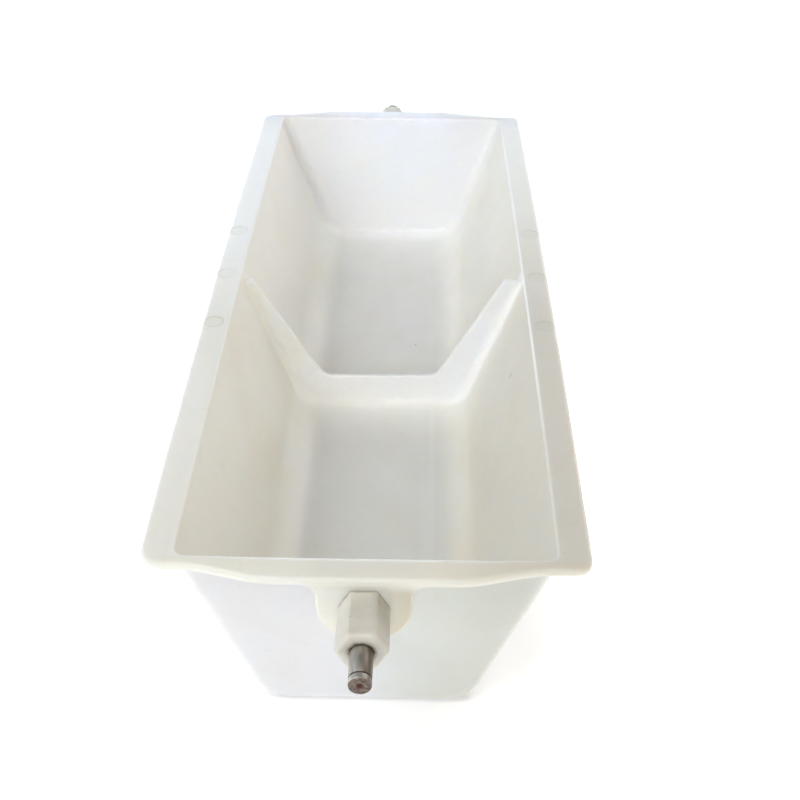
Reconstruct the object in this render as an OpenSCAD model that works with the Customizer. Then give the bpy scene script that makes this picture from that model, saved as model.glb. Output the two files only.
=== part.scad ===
// Tipping water trough: a one-piece plastic tub with a low V-notched divider,
// carried at each end by a steel pivot pin in a hexagonal sleeve.
// Frame: origin under the middle of the tub, +Z up, +Y along the trough,
// front end at -Y. All sizes are in millimetres.

/* [Tub] */
// Width over the side lips of the rim
rim_width = 300; // [280:1:340]
// Length of the rim between its corners
rim_length = 771; // [650:1:900]
// Height from the underside of the floor to the top of the rim
depth = 146; // [125:1:170]
// Thickness of the walls and the floor
wall = 4; // [3:0.5:6]
// Width of the flat floor inside, before its corners are rounded
floor_width = 150; // [130:1:170]
// How much further in each end wall stands at the floor than at the rim
end_draft = 9.5; // [4:0.5:16]
// Radius between the floor and the side walls, inside
side_floor_radius = 40; // [20:1:42]
// Radius between the floor and the end walls, inside
end_floor_radius = 7; // [5:1:14]

/* [Rim] */
// Thickness of the rim
rim_thickness = 5.4; // [4:0.2:7]
// Width of the lip along each side
side_lip = 22.5; // [16:0.5:28]
// Width of the lip along each end, at the corners
end_lip = 9.5; // [8:0.5:14]
// How far each end of the rim swells out in the middle
end_bow = 12; // [6:1:16]
// Width of the flat middle of that swelling
bow_flat = 138; // [110:1:160]
// Width of the swelling at its foot
bow_base = 230; // [210:1:240]
// Radius of the rim's outer corners
rim_corner_radius = 15; // [8:1:20]

/* [Divider] */
// Thickness of the divider at its crest
divider_crest = 5; // [4:0.5:8]
// Thickness of the divider at the floor, before its fillets
divider_base = 7; // [6:0.5:12]
// Height of the low middle of the divider above the floor
divider_height = 33.5; // [20:0.5:45]
// Width of the notch at its bottom
notch_bottom = 105; // [80:1:130]
// Width of the notch at its top
notch_top = 228.5; // [200:0.5:240]
// How far the divider's shoulders stand below the top of the rim
shoulder_drop = 5; // [4:0.5:12]
// Radius of the notch's lower corners
notch_radius = 12; // [8:1:20]
// Radius of the fillets along the foot of the divider
divider_fillet = 9; // [4:0.5:11]

/* [End pads] */
// Width of the pad that carries each pivot
pad_width = 63; // [50:1:80]
// Distance of the pivot axis below the top of the rim
pivot_drop = 24.6; // [20:0.2:26]
// Radius between the pad and the underside of the rim
pad_fillet = 8; // [4:1:12]

/* [Pivots] */
// Size of the hexagonal sleeves across their flats
hex_flats = 30.5; // [26:0.5:36]
// Length of the hexagonal sleeves
hex_length = 39; // [25:1:50]
// Diameter of the free end of each pivot pin
pin_diameter = 15; // [12:1:16]
// Diameter of the pin inside its sleeve and pad
held_diameter = 17; // [17:0.5:20]
// Free length of each pin beyond its sleeve
pin_free = 27; // [20:1:40]
// Length of each pin that is held in the pad
pin_held = 16; // [12:1:17]
// Distance from the tip of the pin to its retaining-ring groove
groove_inset = 4.8; // [4:0.2:8]
// Width of the retaining-ring groove
groove_width = 1.1; // [0.9:0.1:1.6]
// Depth of the retaining-ring groove
groove_depth = 0.35; // [0.3:0.05:0.8]
// Chamfer on the tip of the pin
tip_chamfer = 1; // [0.5:0.1:2]
// Diameter of the turning centre in the tip of the pin
centre_diameter = 5; // [3:0.5:7]

/* [Hidden] */
$fn = 64;

plastic_colour = [0.93, 0.93, 0.90];
sleeve_colour = [0.86, 0.83, 0.76];
steel_colour = [0.55, 0.53, 0.50];

// Steps in each rounded corner of an outline, and the margin by which cuts run past a face
arc_steps = 10;
past = 1;

// The tub's half sizes inside, at the rim and at the floor
mouth_x = rim_width / 2 - side_lip;
mouth_y = rim_length / 2 - end_lip;
floor_x = floor_width / 2;
floor_y = mouth_y - end_draft;
side_angle = atan((mouth_x - floor_x) / (depth - wall));
end_angle = atan(end_draft / (depth - wall));

// Half width and half length inside the tub at height z
function inside_x(z) = floor_x + (z - wall) * tan(side_angle);
function inside_y(z) = floor_y + (z - wall) * tan(end_angle);

// The pivots
pivot_z = depth - pivot_drop;
pad_face_y = rim_length / 2 + end_bow;
pin_radius = pin_diameter / 2;
held_radius = held_diameter / 2;
held_length = pin_held + hex_length;
pin_total = held_length + pin_free;
anchor_width = 4;
anchor_depth = 1.2;
anchor_inset = 4;
centre_depth = 2.5;
centre_floor_diameter = 1.6;

// Arc that rounds corner b between its neighbours a and c with radius r
function unit(v) = v / norm(v);
function turn(u, w) = acos(max(-1, min(1, u * w)));
function corner_arc(a, b, c, r) =
    let (u = unit(a - b), w = unit(c - b), half = turn(u, w) / 2)
    let (middle = b + unit(u + w) * r / sin(half))
    let (start = b + u * r / tan(half) - middle, stop = b + w * r / tan(half) - middle)
    let (sweep = turn(unit(start), unit(stop)), side = start.x * stop.y - start.y * stop.x > 0 ? 1 : -1)
    [for (i = [0 : arc_steps])
        let (t = side * sweep * i / arc_steps)
        middle + [start.x * cos(t) - start.y * sin(t), start.x * sin(t) + start.y * cos(t)]];

// Outline through corners [x, y, r], each rounded with its own radius r; r = 0 stays sharp
function flat(p) = [p.x, p.y];
function rounded(p) =
    let (n = len(p))
    [for (i = [0 : n - 1])
        let (a = flat(p[(i + n - 1) % n]), b = flat(p[i]), c = flat(p[(i + 1) % n]), r = p[i][2])
        each (r > 0 ? corner_arc(a, b, c, r) : [b])];

// Half an outline, closed by its mirror image across the second axis
function mirrored(p) = concat(p, [for (i = [len(p) - 1 : -1 : 0]) [-p[i].x, p[i].y, p[i][2]]]);

// Flat shapes in (x, z) or (y, z), drawn out along the other horizontal axis
module along_y(length) {
    rotate([90, 0, 0]) linear_extrude(length, center = true) children();
}
module along_x(length) {
    rotate([90, 0, 90]) linear_extrude(length, center = true) children();
}

// Block with sloping sides and ends and a rounded bottom, grown outwards by skin from the inside
module tub_block(skin, top) {
    low = wall - skin;
    side_skin = skin / cos(side_angle);
    end_skin = skin / cos(end_angle);
    side = [[inside_x(low) + side_skin, low, side_floor_radius + skin],
            [inside_x(top) + side_skin, top, 0]];
    end = [[inside_y(low) + end_skin, low, end_floor_radius + skin],
           [inside_y(top) + end_skin, top, 0]];
    intersection() {
        along_y(2 * rim_length) polygon(rounded(mirrored(side)));
        along_x(2 * rim_width) polygon(rounded(mirrored(end)));
    }
}

// Rim with straight sides and ends that swell outwards
module rim() {
    corner_y = rim_length / 2;
    bow_radius = 80;
    quarter = [[rim_width / 2, corner_y, rim_corner_radius],
               [bow_base / 2, corner_y, bow_radius],
               [bow_flat / 2, corner_y + end_bow, bow_radius]];
    rear_end = mirrored(quarter);
    front_end = [for (p = rear_end) [-p.x, -p.y, p[2]]];
    translate([0, 0, depth - rim_thickness])
        linear_extrude(rim_thickness) polygon(rounded(concat(rear_end, front_end)));
}

// Upright web with sloping faces and filleted feet, notched down to its low middle
module divider() {
    top = depth - shoulder_drop;
    low = wall + divider_height;
    foot = divider_base / 2 + divider_fillet;
    section = [[foot + past, wall - past, 0],
               [foot + past, wall, 0],
               [divider_base / 2, wall, divider_fillet],
               [divider_crest / 2, top, 0]];
    notch = [[notch_bottom / 2, low, notch_radius],
             [notch_top / 2, top, 0],
             [notch_top / 2, top + past, 0]];
    intersection() {
        along_x(2 * rim_width) polygon(rounded(mirrored(section)));
        tub_block(wall / 2, top);
        difference() {
            translate([-rim_width / 2, -rim_width / 2, 0]) cube([rim_width, rim_width, top]);
            along_y(rim_width) polygon(rounded(mirrored(notch)));
        }
    }
}

// Outline of a pad: round about the pivot axis below, filleted into the underside of the rim above
module pad_outline() {
    rim_z = depth - rim_thickness;
    half = pad_width / 2;
    reach = half + pad_fillet;
    difference() {
        union() {
            translate([0, pivot_z]) circle(half);
            translate([-half, pivot_z]) square([pad_width, rim_z - pivot_z]);
            translate([-reach, rim_z - pad_fillet]) square([2 * reach, pad_fillet]);
        }
        for (side = [-1, 1])
            translate([side * reach, rim_z - pad_fillet]) circle(pad_fillet);
        translate([-reach, rim_z]) square([2 * reach, pad_width]);
    }
}

// Pad on the rear end wall, flush with the middle of the rim
module rear_pad() {
    root_y = inside_y(pivot_z);
    translate([0, root_y, 0]) rotate([90, 0, 180]) linear_extrude(pad_face_y - root_y) pad_outline();
}

// Side view of a pin as a half outline: radius across, length from its inner end upwards
module pin_profile() {
    groove_z = pin_total - groove_inset;
    groove_r = pin_radius - groove_depth;
    anchor_r = held_radius - anchor_depth;
    polygon([[0, 0],
             [held_radius, 0],
             [held_radius, anchor_inset],
             [anchor_r, anchor_inset],
             [anchor_r, anchor_inset + anchor_width],
             [held_radius, anchor_inset + anchor_width],
             [held_radius, held_length],
             [pin_radius, held_length],
             [pin_radius, groove_z - groove_width],
             [groove_r, groove_z - groove_width],
             [groove_r, groove_z],
             [pin_radius, groove_z],
             [pin_radius, pin_total - tip_chamfer],
             [pin_radius - tip_chamfer, pin_total],
             [centre_diameter / 2, pin_total],
             [centre_floor_diameter / 2, pin_total - centre_depth],
             [0, pin_total - centre_depth]]);
}

// Turned pin on the rear pivot axis, from inside the pad to its free tip
module rear_pin_solid() {
    translate([0, pad_face_y - pin_held, pivot_z]) rotate([-90, 0, 0]) rotate_extrude() pin_profile();
}

// Hexagonal sleeve around the pin, with flats at its top and bottom
module rear_sleeve_solid() {
    translate([0, pad_face_y, pivot_z]) rotate([-90, 0, 0]) difference() {
        cylinder(h = hex_length, d = hex_flats / cos(30), $fn = 6);
        translate([0, 0, -past]) cylinder(h = hex_length + 2 * past, r = held_radius);
    }
}

module front() {
    mirror([0, 1, 0]) children();
}

module tub() {
    color(plastic_colour) difference() {
        union() {
            difference() {
                union() {
                    tub_block(wall, depth - rim_thickness / 2);
                    rim();
                    rear_pad();
                    front() rear_pad();
                }
                tub_block(0, depth + past);
            }
            divider();
        }
        rear_pin_solid();
        front() rear_pin_solid();
    }
}

module front_hex_sleeve() {
    color(sleeve_colour) front() rear_sleeve_solid();
}

module rear_hex_sleeve() {
    color(sleeve_colour) rear_sleeve_solid();
}

module front_pivot_pin() {
    color(steel_colour) front() rear_pin_solid();
}

module rear_pivot_pin() {
    color(steel_colour) rear_pin_solid();
}

tub();
front_hex_sleeve();
rear_hex_sleeve();
front_pivot_pin();
rear_pivot_pin();
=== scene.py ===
import math

import bpy
from mathutils import Matrix, Vector, noise


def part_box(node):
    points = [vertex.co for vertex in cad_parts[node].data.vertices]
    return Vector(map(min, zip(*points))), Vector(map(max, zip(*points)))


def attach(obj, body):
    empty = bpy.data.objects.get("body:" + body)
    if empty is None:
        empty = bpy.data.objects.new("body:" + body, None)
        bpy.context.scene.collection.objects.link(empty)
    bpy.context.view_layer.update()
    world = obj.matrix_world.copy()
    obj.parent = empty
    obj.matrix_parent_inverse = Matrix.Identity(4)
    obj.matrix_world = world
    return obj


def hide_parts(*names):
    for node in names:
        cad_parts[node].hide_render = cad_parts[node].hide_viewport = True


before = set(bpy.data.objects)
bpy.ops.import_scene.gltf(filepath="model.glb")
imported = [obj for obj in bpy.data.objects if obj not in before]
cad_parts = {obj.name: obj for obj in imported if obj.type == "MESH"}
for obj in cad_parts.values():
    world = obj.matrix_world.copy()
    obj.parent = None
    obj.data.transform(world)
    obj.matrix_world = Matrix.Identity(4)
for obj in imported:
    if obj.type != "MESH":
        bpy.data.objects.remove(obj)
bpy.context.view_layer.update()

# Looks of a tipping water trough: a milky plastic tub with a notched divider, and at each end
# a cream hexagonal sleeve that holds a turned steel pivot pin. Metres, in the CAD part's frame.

MM = 0.001

# Sizes that come from the frame
tub_low, tub_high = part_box("tub")
hex_low, hex_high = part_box("rear_hex_sleeve")
pin_low, pin_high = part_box("rear_pivot_pin")
HALF_WIDTH = tub_high.x
RIM_TOP = tub_high.z
PAD_FACE = tub_high.y
AXIS_Z = (hex_low.z + hex_high.z) / 2
SLEEVE_END = hex_high.y
PIN_END = pin_high.y
PIN_START = pin_low.y
HELD_RADIUS = pin_high.x

# Driving sizes of the tub, as the CAD part has them
WALL = 4 * MM
SIDE_LIP = 22.5 * MM
END_LIP = 9.5 * MM
END_BOW = 12 * MM
RIM_THICKNESS = 5.4 * MM
FLOOR_HALF_WIDTH = 75 * MM
END_DRAFT = 9.5 * MM
SIDE_FLOOR_RADIUS = 40 * MM
END_FLOOR_RADIUS = 7 * MM
BOW_FLAT_HALF = 69 * MM
BOW_BASE_HALF = 115 * MM
RIM_CORNER_RADIUS = 15 * MM

# Half the length of the bow's bends, which the CAD part has as arcs of 80 mm
BOW_BLEND = 10.3 * MM

# The outer edge under the floor, which is a little rounder at the sides than in the CAD part
END_UNDER_RADIUS = 10 * MM
SIDE_UNDER_RADIUS = 50 * MM

# The end pads, which stand a hair's breadth proud of the lip that they merge with
PAD_HALF = 31.5 * MM
PAD_FILLET = 8 * MM
PAD_CEILING = RIM_TOP - RIM_THICKNESS + 1.5 * MM
PAD_EDGE = 1.6 * MM
PAD_FLARE = 6 * MM
PAD_DRAFT = 0.3 * MM
PAD_ARC_STEPS = 8
PAD_ROUND_STEPS = 48
LIP_SETBACK = 0.08 * MM

# The pins and their sleeves
PIN_RADIUS = 7.5 * MM
PIN_TAPER = 0.15 * MM
PIN_STEPS = 96
GROOVE_INSET = 4.8 * MM
GROOVE_WIDTH = 1 * MM
GROOVE_DEPTH = 0.5 * MM
SLEEVE_EDGE = 2.0 * MM
SLEEVE_END_RADIUS = 2.8 * MM
SLEEVE_DRAFT = 0.35 * MM
SLEEVE_ARC_STEPS = 6
BORE_GAP = 0.25 * MM
HELD_GAP = 0.05 * MM

# The tub's half sizes at the mouth, and the slopes and thickness across of its walls
RIM_CORNER_Y = PAD_FACE - END_BOW
MOUTH_X = HALF_WIDTH - SIDE_LIP
MOUTH_Y = RIM_CORNER_Y - END_LIP
INNER_DEPTH = RIM_TOP - WALL
SIDE_SLOPE = (MOUTH_X - FLOOR_HALF_WIDTH) / INNER_DEPTH
END_SLOPE = END_DRAFT / INNER_DEPTH
SIDE_SKIN = WALL * math.hypot(1, SIDE_SLOPE)
END_SKIN = WALL * math.hypot(1, END_SLOPE)

# The round marks of the mould's ejector pins
MARK_RADIUS = 8.2 * MM
MARK_DEPTH = 0.25 * MM
MARK_ACROSS = MOUTH_X + 12.8 * MM
MARK_SPACING = 85 * MM
MARK_STEPS = 48
END_MARK_SETBACK = 11.5 * MM
END_MARKS = ((-72 * MM, -1), (49 * MM, 1), (-45 * MM, 1))

# Radii of the upright corners, seen from above, and of the small edges
OUTER_CORNER_LOW = 25 * MM
OUTER_CORNER_HIGH = 14 * MM
INNER_CORNER_LOW = 21 * MM
INNER_CORNER_HIGH = 8 * MM
FLOOR_CORNER = 12 * MM
LIP_ROOT_RADIUS = 2.5 * MM
LIP_EDGE_RADIUS = 3.0 * MM
LIP_UNDER_RADIUS = 0.6 * MM
ARRIS_RADIUS = 2.2 * MM

# The divider
CREST_HALF = 2.5 * MM
FOOT_HALF = 5 * MM
SHOULDER_Z = RIM_TOP - 5 * MM
CREST_Z = WALL + 33.5 * MM
NOTCH_TOP_HALF = 114.25 * MM
NOTCH_BOTTOM_HALF = 52.5 * MM
NOTCH_RADIUS = 12 * MM
SHOULDER_RADIUS = 3 * MM
CREST_RADIUS = 1.2 * MM
FLOOR_FILLET = 16 * MM
ARM_FILLET = 8 * MM
ARM_FILLET_HEIGHT = 50 * MM
FULL_LEAN_HEIGHT = 6 * MM
BAND = 30 * MM

# How the moulding has settled: each side bows out, the divider leans and stands off centre, and the
# walls drift in and out a little
SIDE_BOW_LEFT = 2.7 * MM
SIDE_BOW_RIGHT = 2.1 * MM
DIVIDER_LEAN = 0.0145
DIVIDER_OFFSET = -1.0 * MM
LEAN_START = 15 * MM
LEAN_REACH = 60 * MM
UNEVENNESS = 0.5 * MM

# Edges of the tub that turn by more than this are shaded as sharp
SHARP_ANGLE = math.radians(42)

# How square each corner of the rim is, by (on the right, at the rear). At 2 it is round.
CORNER_POWERS = {(False, False): 2, (True, False): 2.6, (False, True): 3, (True, True): 6}

# Steps along the outline of the tub: rows on each side, columns on each end, steps in each corner
SIDE_ROWS = 26
END_COLUMNS = 40
CORNER_STEPS = 8
HALF_COLUMNS = CORNER_STEPS // 2
SHOULDER_STEPS = 4
SHOULDER_ARC_STEPS = 3
ARM_STEPS = 14
FLOOR_ARC_STEPS = 12


def smooth(t):
    t = min(1, max(0, t))
    return t * t * (3 - 2 * t)


def mix(a, b, t):
    return a + (b - a) * t


def inside_x(z):
    return FLOOR_HALF_WIDTH + (z - WALL) * SIDE_SLOPE


def inside_y(z):
    return MOUTH_Y - END_DRAFT + (z - WALL) * END_SLOPE


def rounded_path(corners):
    """Points of a path through corners of (across, up, radius, arc steps, run steps). The radius rounds
    the corner, and the run steps divide the straight run to the next one. The last corner only aims it."""
    arcs = []
    for i, (across, up, radius, arc_steps, _) in enumerate(corners):
        here = Vector((across, up))
        if radius == 0:
            arcs.append([here])
            continue
        back = (Vector(corners[i - 1][:2]) - here).normalized()
        ahead = (Vector(corners[i + 1][:2]) - here).normalized()
        half = back.angle(ahead) / 2
        reach = radius / math.tan(half)
        centre = here + (back + ahead).normalized() * radius / math.sin(half)
        start = here + back * reach - centre
        stop = here + ahead * reach - centre
        sweep = math.pi - 2 * half
        arcs.append([centre + (start * math.sin((1 - k / arc_steps) * sweep)
                               + stop * math.sin(k / arc_steps * sweep)) / math.sin(sweep)
                     for k in range(arc_steps + 1)])
    points = []
    for arc, following, (_, _, _, _, run_steps) in zip(arcs, arcs[1:], corners):
        points += arc
        points += [arc[-1].lerp(following[0], k / run_steps) for k in range(1, run_steps)]
    return points


def skin_section(inside, skin, lip, outer_radius, inner_radius):
    """Side view of the tub's skin on one side or end, from under the floor round the lip to the floor
    inside. inside(z) gives the half size inside, skin the thickness across, and lip the rim's edge. The
    radii are those of the floor's edge, outside and inside."""
    underside = RIM_TOP - RIM_THICKNESS
    shoulder_low = SHOULDER_Z - 8.5 * MM
    arm_top = shoulder_low - 4 * MM
    corners = [
        (0, 0, 0, 0, 1),
        (inside(0) + skin, 0, outer_radius, 10, 12),
        (inside(underside) + skin, underside, LIP_ROOT_RADIUS, 4, 2),
        (lip, underside, LIP_UNDER_RADIUS, 3, 1),
        (lip, RIM_TOP, LIP_EDGE_RADIUS, 6, 6),
        (inside(RIM_TOP), RIM_TOP, ARRIS_RADIUS, 5, 3),
        (inside(SHOULDER_Z), SHOULDER_Z, 0, 0, SHOULDER_STEPS),
        (inside(shoulder_low), shoulder_low, 0, 0, SHOULDER_ARC_STEPS),
        (inside(arm_top), arm_top, 0, 0, ARM_STEPS),
        (inside(WALL), WALL, inner_radius, FLOOR_ARC_STEPS, 1),
        (0, WALL, 0, 0, 1),
    ]
    return rounded_path(corners)[1:]


SIDE = skin_section(inside_x, SIDE_SKIN, HALF_WIDTH, SIDE_UNDER_RADIUS, SIDE_FLOOR_RADIUS)
END = skin_section(inside_y, END_SKIN, RIM_CORNER_Y, END_UNDER_RADIUS, END_FLOOR_RADIUS)
FLOOR_ARC_START = len(SIDE) - FLOOR_ARC_STEPS - 1
LIP_TOP_LOOP = next(i for i, p in enumerate(SIDE) if p.y > RIM_TOP - LIP_EDGE_RADIUS * 0.01)
SHOULDER_LOOP = FLOOR_ARC_START - (SHOULDER_STEPS + SHOULDER_ARC_STEPS + ARM_STEPS)


def plan_radius(i):
    """Radius of the upright corners on loop i, seen from above."""
    z = SIDE[i].y
    if i >= FLOOR_ARC_START:
        share = (i - FLOOR_ARC_START) / FLOOR_ARC_STEPS
        return mix(INNER_CORNER_LOW, FLOOR_CORNER, smooth(share))
    if i < LIP_TOP_LOOP:
        lip_share = (SIDE[i].x - inside_x(z) - SIDE_SKIN) / (SIDE_LIP - SIDE_SKIN)
        wall_radius = mix(OUTER_CORNER_LOW, OUTER_CORNER_HIGH, smooth(z / RIM_TOP))
        return mix(wall_radius, RIM_CORNER_RADIUS, smooth(lip_share))
    lip_share = (SIDE[i].x - MOUTH_X) / SIDE_LIP
    wall_radius = mix(INNER_CORNER_LOW, INNER_CORNER_HIGH, smooth(z / RIM_TOP))
    return mix(wall_radius, RIM_CORNER_RADIUS, max(0, lip_share))


def bow(x):
    """How far the rim's end swells out at x: flat in the middle, with straight flanks and soft bends."""
    x = abs(x)
    slope = (END_BOW - LIP_SETBACK) / (BOW_BASE_HALF - BOW_FLAT_HALF)

    def past(start):
        over = x - (start - BOW_BLEND)
        if over <= 0:
            return 0
        if over >= 2 * BOW_BLEND:
            return x - start
        return over * over / (4 * BOW_BLEND)

    return END_BOW - LIP_SETBACK - slope * (past(BOW_FLAT_HALF) - past(BOW_BASE_HALF))


def divider_half_section(height, fillet):
    """(Distance from the middle, height above the foot) of each row across half the divider. A divider
    with no height leaves the rows where a very low one has them."""
    shown = max(height, MM)
    fillet = min(fillet, 0.45 * shown)
    edge = min(CREST_RADIUS, 0.4 * shown)
    foot = mix(CREST_HALF, FOOT_HALF, shown / SHOULDER_Z)
    path = rounded_path([
        (BAND, 0, 0, 0, 3),
        (foot, 0, fillet, 9, 6),
        (CREST_HALF, shown, edge, 5, 2),
        (0, shown, 0, 0, 1),
        (-CREST_HALF, shown, 0, 0, 1),
    ])
    return [(p.x, p.y * height / shown) for p in path]


BAND_STEPS = len(divider_half_section(MM, MM)) - 1


def divider_rows(height, fillet):
    """(Y, height above the foot) of every row across the divider, from front to rear."""
    half = divider_half_section(height, fillet)
    return [(-y, up) for y, up in half] + [(y, up) for y, up in half[-2::-1]]


CREST = rounded_path([
    (inside_x(SHOULDER_Z), SHOULDER_Z, 0, 0, SHOULDER_STEPS),
    (NOTCH_TOP_HALF, SHOULDER_Z, SHOULDER_RADIUS, SHOULDER_ARC_STEPS, ARM_STEPS),
    (NOTCH_BOTTOM_HALF, CREST_Z, NOTCH_RADIUS, FLOOR_ARC_STEPS, 1),
    (0, CREST_Z, 0, 0, 1),
])


def arm_points(loop):
    """(Foot, crest) of the divider on a loop of the wall inside, in side view, or None above it."""
    step = loop - SHOULDER_LOOP
    if step <= 0:
        return None
    return SIDE[loop], CREST[step]


def band_points(side, foot, crest):
    """Points of one column across the divider's band, from front to rear."""
    rise = crest - foot
    height = rise.length
    fillet = mix(FLOOR_FILLET, ARM_FILLET, smooth((foot.y - WALL) / ARM_FILLET_HEIGHT))
    standing = smooth(height / FULL_LEAN_HEIGHT)
    points = []
    for y, up in divider_rows(height, fillet):
        share = up / height
        place = foot + rise * share
        leaning = share * standing
        x = side * place.x
        points.append(Vector((x + leaning * (DIVIDER_OFFSET - DIVIDER_LEAN * place.y), y,
                              place.y + leaning * DIVIDER_LEAN * x)))
    return points


def loop_rows(half_straight):
    """Y of each row outside the divider's band, from the band to the corner."""
    return [mix(BAND, half_straight, k / SIDE_ROWS) for k in range(1, SIDE_ROWS + 1)]


def side_points(loop, side):
    """Points of a loop along one side of the tub, from front to rear."""
    a, z = SIDE[loop]
    outer = loop_rows(END[loop].x - plan_radius(loop))
    arms = arm_points(loop)
    if arms:
        middle = band_points(side, *arms)
    else:
        middle = [Vector((side * a, y, z)) for y, _ in divider_rows(0, MM)]
    front = [Vector((side * a, -y, z)) for y in reversed(outer)]
    rear = [Vector((side * a, y, z)) for y in outer]
    return front + middle + rear


def corner_points(loop, side, end):
    """Points of a loop inside one corner, from its side to its end."""
    a, z_side = SIDE[loop]
    b, z_end = END[loop]
    r = plan_radius(loop)
    points = []
    for k in range(1, CORNER_STEPS):
        share = k / CORNER_STEPS
        angle = share * math.pi / 2
        points.append(Vector((side * (a - r + r * math.cos(angle)), end * (b - r + r * math.sin(angle)),
                              mix(z_side, z_end, smooth(share)))))
    return points


def end_points(loop, end):
    """Points of a loop along one end, from -X to +X."""
    b, z = END[loop]
    reach = SIDE[loop].x - plan_radius(loop)
    start = inside_y(z) if loop >= LIP_TOP_LOOP else inside_y(z) + END_SKIN
    swell = min(1, max(0, (b - start) / (RIM_CORNER_Y - LIP_EDGE_RADIUS - start)))
    points = []
    for k in range(END_COLUMNS + 1):
        x = mix(-reach, reach, k / END_COLUMNS)
        points.append(Vector((x, end * (b + bow(x) * swell), z)))
    return points


def tub_loop(loop):
    """All points of a loop, anticlockwise seen from above, starting at the front of the +X side."""
    return (side_points(loop, 1) + corner_points(loop, 1, 1) + end_points(loop, 1)[::-1]
            + corner_points(loop, -1, 1)[::-1] + side_points(loop, -1)[::-1]
            + corner_points(loop, -1, -1) + end_points(loop, -1) + corner_points(loop, 1, -1)[::-1])


SIDE_COUNT = 2 * SIDE_ROWS + 2 * BAND_STEPS + 1
END_COUNT = END_COLUMNS + 1
CORNER_COUNT = CORNER_STEPS - 1
BAND_START = HALF_COLUMNS + SIDE_ROWS
BAND_STOP = BAND_START + 2 * BAND_STEPS


def floor_borders(ring):
    """The left, right, front and rear borders of the floor inside a loop, each from front to rear or from
    -X to +X. Half of each corner goes to the side and half to the end."""
    parts = []
    start = 0
    for count in (SIDE_COUNT, CORNER_COUNT, END_COUNT, CORNER_COUNT) * 2:
        parts.append(ring[start:start + count])
        start += count
    right, right_rear, rear, left_rear, left, left_front, front, right_front = parts
    shared = HALF_COLUMNS - 1
    left_border = (left_rear[shared:] + left + left_front[:shared + 1])[::-1]
    right_border = right_front[shared:] + right + right_rear[:shared + 1]
    front_border = left_front[shared:] + front + right_front[:shared + 1]
    rear_border = (right_rear[shared:] + rear + left_rear[:shared + 1])[::-1]
    return left_border, right_border, front_border, rear_border


class TubMesh:
    """Collects the points and faces of the tub."""

    def __init__(self):
        self.points = []
        self.faces = []

    def add(self, points):
        start = len(self.points)
        self.points += points
        return list(range(start, start + len(points)))

    def quads(self, row, following, flip=False):
        for a, b, c, d in zip(row, row[1:], following[1:], following):
            self.faces.append((d, c, b, a) if flip else (a, b, c, d))

    def floor(self, ring, level, crest):
        """Closes a loop with a grid of rows from front to rear. crest is the end of the divider's crest
        over this floor, or None under the tub."""
        borders = floor_borders(ring)
        left, right, front, rear = borders
        half = self.points[right[BAND_START]].x
        across = [mix(-half, half, k / (len(front) - 1)) for k in range(len(front))]
        if crest is None:
            band = [[Vector((x, y, level)) for y, _ in divider_rows(0, MM)] for x in across]
        else:
            band = [band_points(1, Vector((x, level)), Vector((x * crest.x / half, crest.y))) for x in across]
        rows = [front]
        for j in range(1, len(left) - 1):
            if BAND_START <= j <= BAND_STOP:
                inner = [column[j - BAND_START] for column in band[1:-1]]
            else:
                inner = [self.patch(borders, band, j, k) for k in range(1, len(front) - 1)]
            rows.append([left[j]] + self.add(inner) + [right[j]])
        rows.append(rear)
        for row, following in zip(rows, rows[1:]):
            self.quads(row, following, crest is None)

    def patch(self, borders, band, j, k):
        """A floor point between the divider's band and one end, blended from the four lines round it."""
        left, right, front, rear = borders
        if j < BAND_START:
            end, end_row, band_row, band_edge = front, 0, BAND_START, 0
        else:
            end, end_row, band_row, band_edge = rear, -1, BAND_STOP, -1
        p = self.points
        u = k / (len(front) - 1)
        v = (p[right[j]].y - p[right[band_row]].y) / (p[right[end_row]].y - p[right[band_row]].y)
        lengthwise = mix(band[k][band_edge], p[end[k]], v)
        sideways = mix(p[left[j]], p[right[j]], u)
        corners = mix(mix(p[left[band_row]], p[right[band_row]], u),
                      mix(p[left[end_row]], p[right[end_row]], u), v)
        return lengthwise + sideways - corners


def mesh_object(name, points, faces):
    mesh = bpy.data.meshes.new(name)
    mesh.from_pydata([tuple(p) for p in points], [], faces)
    mesh.validate()
    mesh.update()
    obj = bpy.data.objects.new(name, mesh)
    bpy.context.scene.collection.objects.link(obj)
    mesh.polygons.foreach_set("use_smooth", [True] * len(mesh.polygons))
    return obj


def apply_modifiers(obj):
    """Makes the mesh that the modifiers give the object's own mesh."""
    graph = bpy.context.evaluated_depsgraph_get()
    mesh = bpy.data.meshes.new_from_object(obj.evaluated_get(graph), depsgraph=graph)
    old = obj.data
    obj.modifiers.clear()
    obj.data = mesh
    bpy.data.meshes.remove(old)


def combine(obj, other, operation):
    """Unites obj with other, or cuts other out of it, and removes other."""
    cut = obj.modifiers.new("combine", "BOOLEAN")
    cut.operation = operation
    cut.solver = "EXACT"
    cut.object = other
    bpy.context.view_layer.update()
    apply_modifiers(obj)
    bpy.data.objects.remove(other)


def uneven(p):
    """The small unevenness of a moulded wall: a slow sideways drift, inward only at the lip's edge."""
    drift = noise.noise(Vector((p.x * 7, p.y * 9, p.z * 5))) * UNEVENNESS
    second = noise.noise(Vector((p.x * 6 + 40, p.y * 7, p.z * 6))) * UNEVENNESS
    outermost = smooth((abs(p.x) - MOUTH_X) / SIDE_LIP) * smooth((p.z - 0.8 * RIM_TOP) / (0.15 * RIM_TOP))
    side = 1 if p.x > 0 else -1
    across = mix(drift, -side * abs(drift), outermost)
    calm_end = 1 - smooth((abs(p.y) - 0.8 * MOUTH_Y) / (0.2 * MOUTH_Y))
    return p + Vector((across, second * calm_end, 0))


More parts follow.
